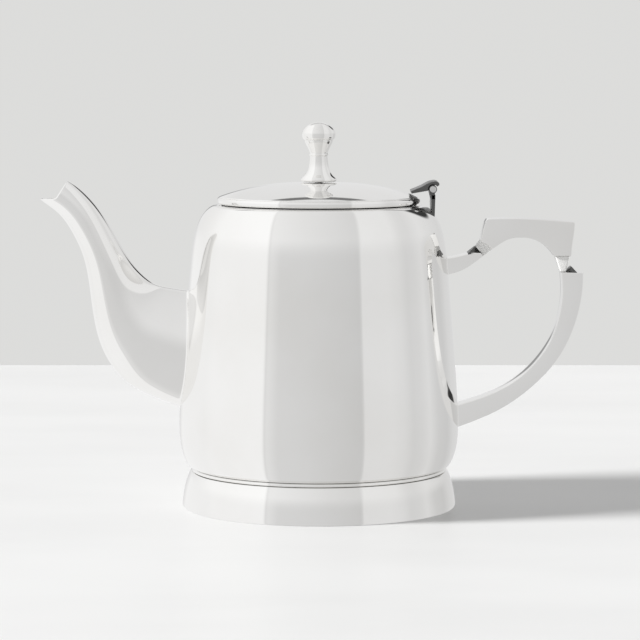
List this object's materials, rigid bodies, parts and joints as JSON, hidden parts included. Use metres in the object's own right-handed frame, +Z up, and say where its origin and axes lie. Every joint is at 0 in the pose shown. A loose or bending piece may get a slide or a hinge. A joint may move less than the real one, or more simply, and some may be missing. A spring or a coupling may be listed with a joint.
{
  "type": "teapot",
  "caption": "Round polished silver teapot with a tapering body on a flared foot, swan-neck spout, insulated angular handle and a hinged domed lid with a ball finial.",
  "frame": {"origin": "middle of the whole pot's footprint, at the level it stands on", "axes": "+X from the spout towards the handle, +Y across the pot, +Z up"},
  "size_m": [0.2395, 0.1234, 0.1698],
  "materials": {
    "polished_silver": "mirror-polished silver plate with faint handling haze",
    "satin_silver": "satin",
    "hinge_metal": "cast, darkened and rubbed back",
    "steel": "turned",
    "insulator": "satin moulded composition"
  },
  "bodies": {
    "pot": {"body_shell": "polished_silver", "mouth_collar": "polished_silver", "foot_ring": "polished_silver", "foot_bead": "polished_silver", "spout": "polished_silver", "handle_upper_arm": "polished_silver", "handle_lower_arm": "polished_silver", "handle_grip": "polished_silver", "upper_arm_peg_pin": "polished_silver", "upper_grip_peg_pin": "polished_silver", "lower_arm_peg_pin": "polished_silver", "lower_grip_peg_pin": "polished_silver", "body_hinge_leaf": "hinge_metal", "spout_strainer": "satin_silver", "hinge_pin": "steel", "upper_insulator": "insulator", "lower_insulator": "insulator"},
    "lid": {"lid_shell": "polished_silver", "lid_rim": "polished_silver", "lid_bezel": "polished_silver", "finial": "polished_silver", "finial_stud": "steel", "finial_washer": "satin_silver", "finial_nut": "steel", "lid_hinge_leaf": "hinge_metal"}
  },
  "joints": [
    {"name": "lid_hinge", "type": "hinge", "parent": "pot", "child": "lid", "pos_m": [0.0533, 0, 0.1406], "axis": [0, 1, 0], "range_deg": [0, 92]}
  ]
}
